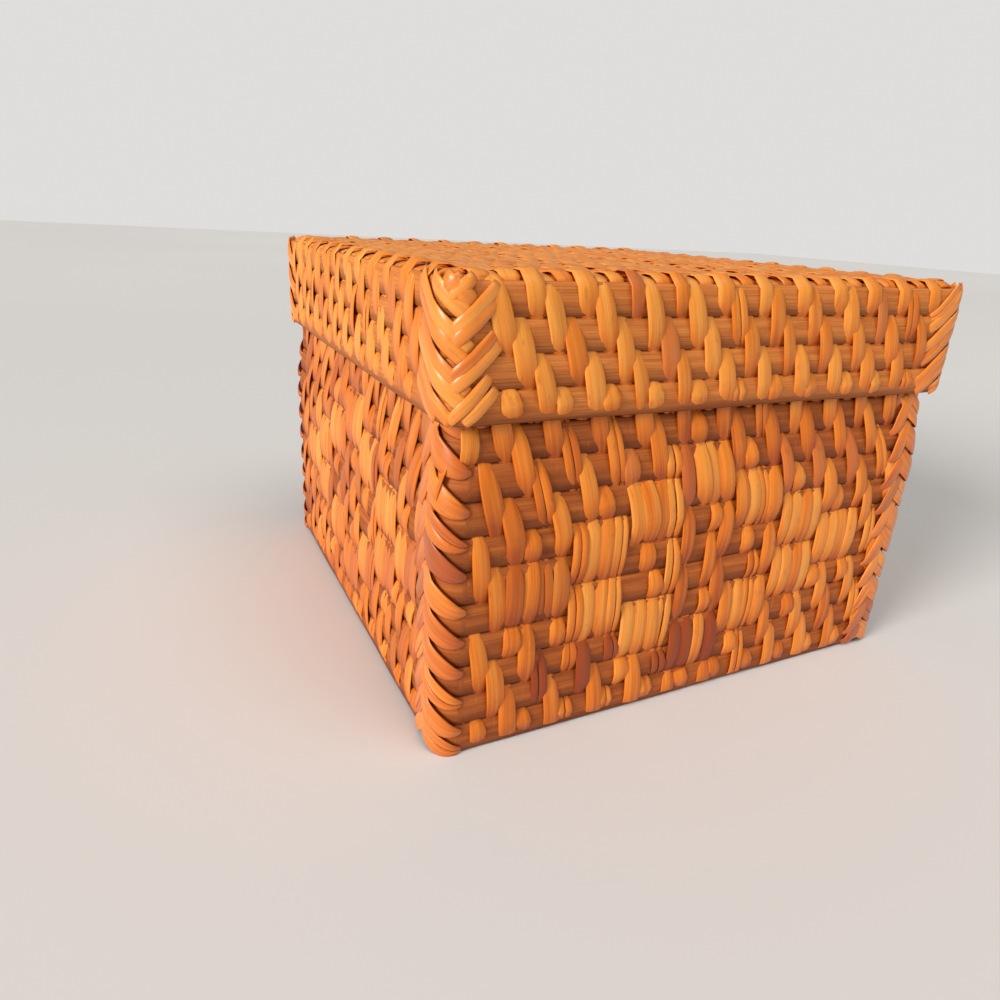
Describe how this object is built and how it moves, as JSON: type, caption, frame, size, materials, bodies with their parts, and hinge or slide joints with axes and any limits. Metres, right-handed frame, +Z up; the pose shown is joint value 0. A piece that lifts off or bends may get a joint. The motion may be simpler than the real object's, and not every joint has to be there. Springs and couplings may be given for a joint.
{
  "type": "woven lidded box",
  "caption": "Small square basketry box with a deep lift-off lid, twill woven over stiff bands, with a diamond on each wall and herringbone corners.",
  "frame": {"origin": "on the ground under the middle of the closed box", "axes": "+Z up, the way the lid lifts; -Y is the front wall, the right-hand visible wall in the picture; +X to the right of it"},
  "size_m": [0.115, 0.115, 0.084],
  "materials": {
    "bands": "satin split cane, fine grain along the band",
    "strands": "glossy flat plant strands, fine fibres along them",
    "lashings": "glossy flat plant strands, fine fibres along them",
    "rim": "satin plant strands wrapped over the edge",
    "panels": "satin split cane, woven flat"
  },
  "bodies": {
    "basket": {"basket_band_01": "bands", "basket_band_02": "bands", "basket_band_03": "bands", "basket_band_04": "bands", "basket_band_05": "bands", "basket_band_06": "bands", "basket_band_07": "bands", "basket_band_08": "bands", "basket_band_09": "bands", "basket_band_10": "bands", "basket_band_11": "bands", "basket_band_12": "bands", "basket_band_13": "bands", "basket_rim": "rim", "basket_floor": "panels", "basket_strands_front": "strands", "basket_strands_right": "strands", "basket_strands_back": "strands", "basket_strands_left": "strands", "basket_lashing_front_right": "lashings", "basket_lashing_back_right": "lashings", "basket_lashing_back_left": "lashings", "basket_lashing_front_left": "lashings"},
    "lid": {"lid_band_1": "bands", "lid_band_2": "bands", "lid_band_3": "bands", "lid_band_4": "bands", "lid_strands_front": "strands", "lid_strands_right": "strands", "lid_strands_back": "strands", "lid_strands_left": "strands", "lid_lashing_front_right": "lashings", "lid_lashing_back_right": "lashings", "lid_lashing_back_left": "lashings", "lid_lashing_front_left": "lashings", "lid_top_panel": "panels", "lid_top_strands": "strands"}
  },
  "joints": [
    {"name": "lid_lift", "type": "slide", "parent": "basket", "child": "lid", "axis": [0, 0, 1], "range_m": [0, 0.06]}
  ]
}
